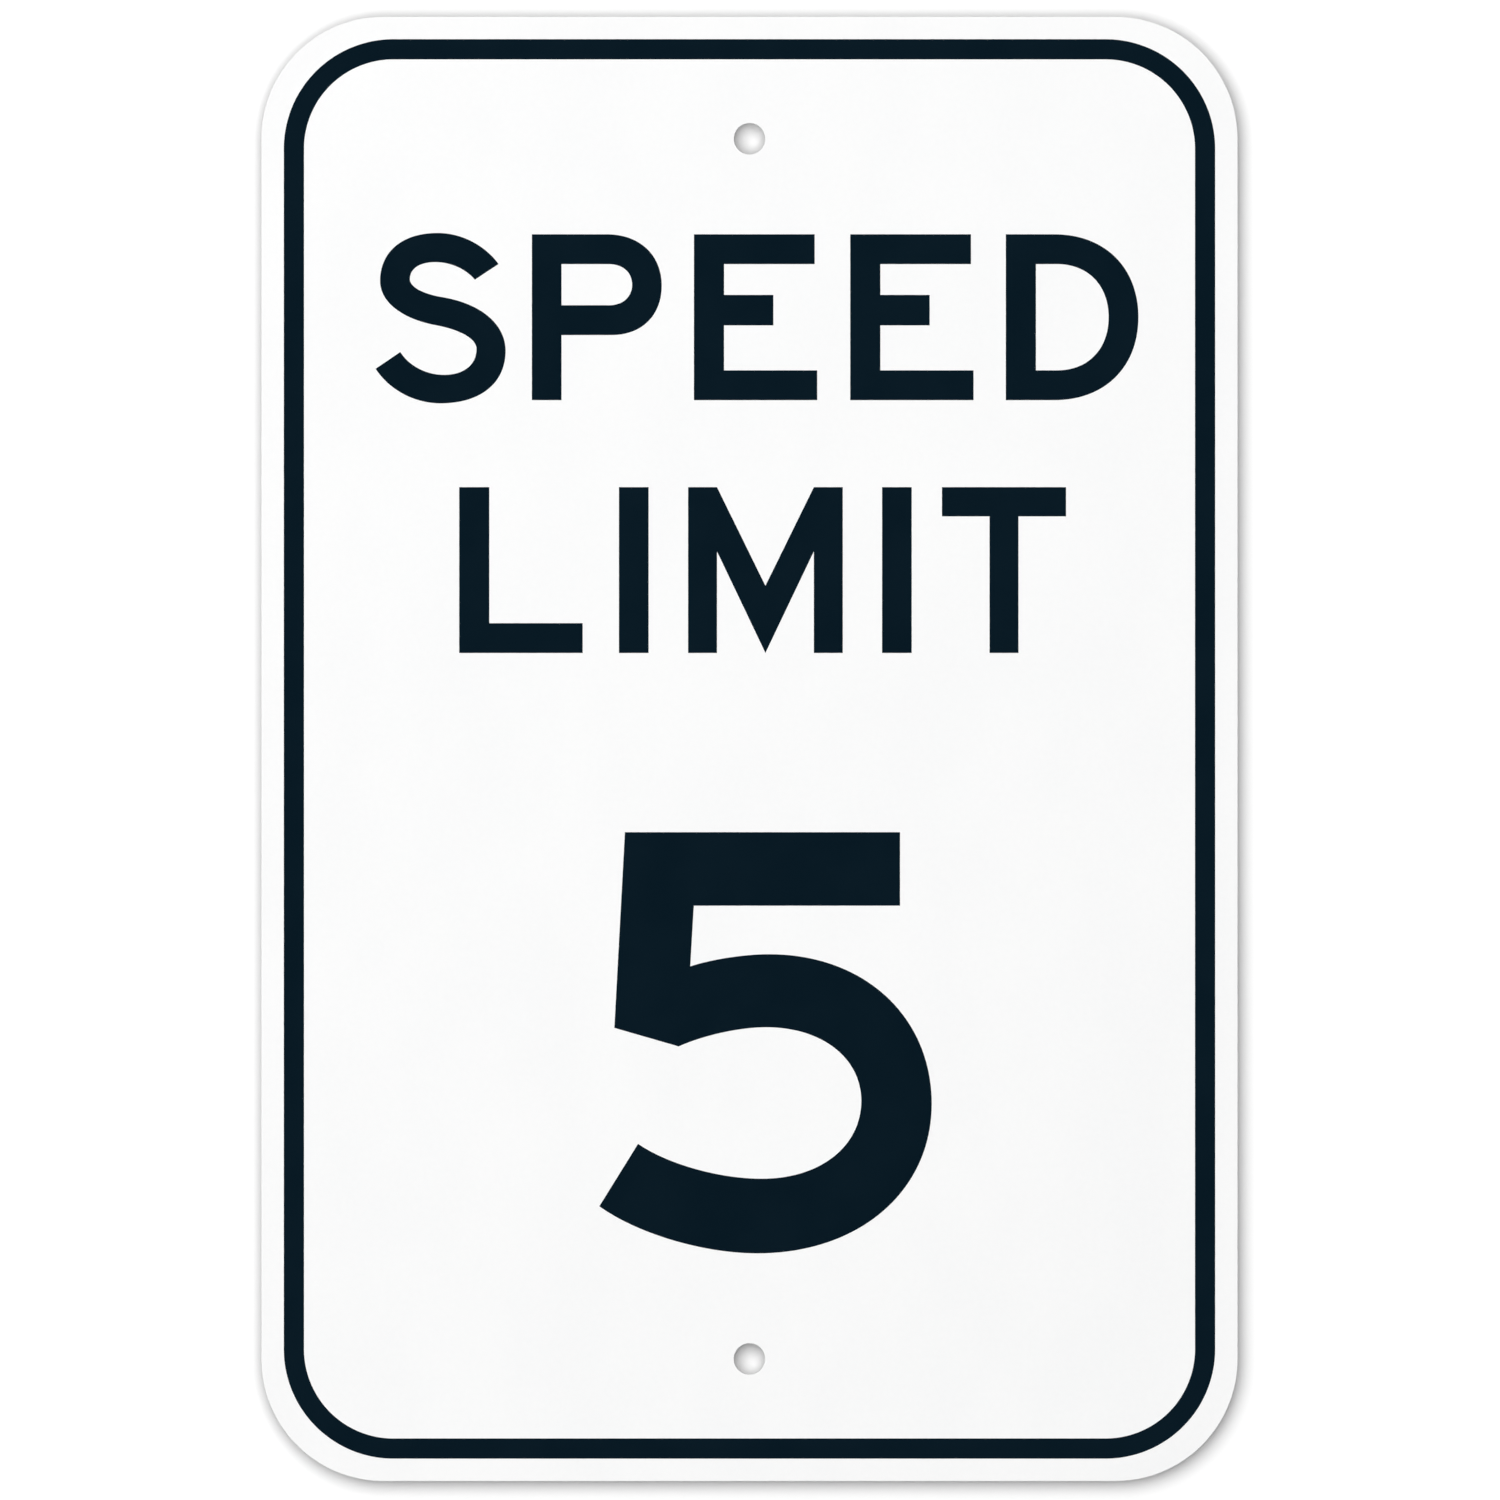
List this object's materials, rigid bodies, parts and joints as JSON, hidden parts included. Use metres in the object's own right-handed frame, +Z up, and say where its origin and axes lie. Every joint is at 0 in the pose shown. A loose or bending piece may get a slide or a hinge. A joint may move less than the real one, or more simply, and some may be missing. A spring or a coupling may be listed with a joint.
{
  "type": "speed limit sign",
  "caption": "Flat upright road sign: an aluminium plate with round corners and bolt holes, white reflective face film and a dark border band, bolted to a post through its middle line.",
  "frame": {"origin": "middle of the two bolt holes, on the back face of the aluminium blank", "axes": "+Z up, +X to the right of someone who reads the sign, +Y out of the back towards the post"},
  "size_m": [0.3048, 0.002, 0.4572],
  "materials": {
    "sheet_aluminium": "mill, satin",
    "white_sheeting": "satin, faint grain of fine beads",
    "dark_film": "semi-gloss"
  },
  "bodies": {
    "root": {"blank": "sheet_aluminium", "face_sheeting": "white_sheeting", "border_band": "dark_film"}
  },
  "joints": []
}
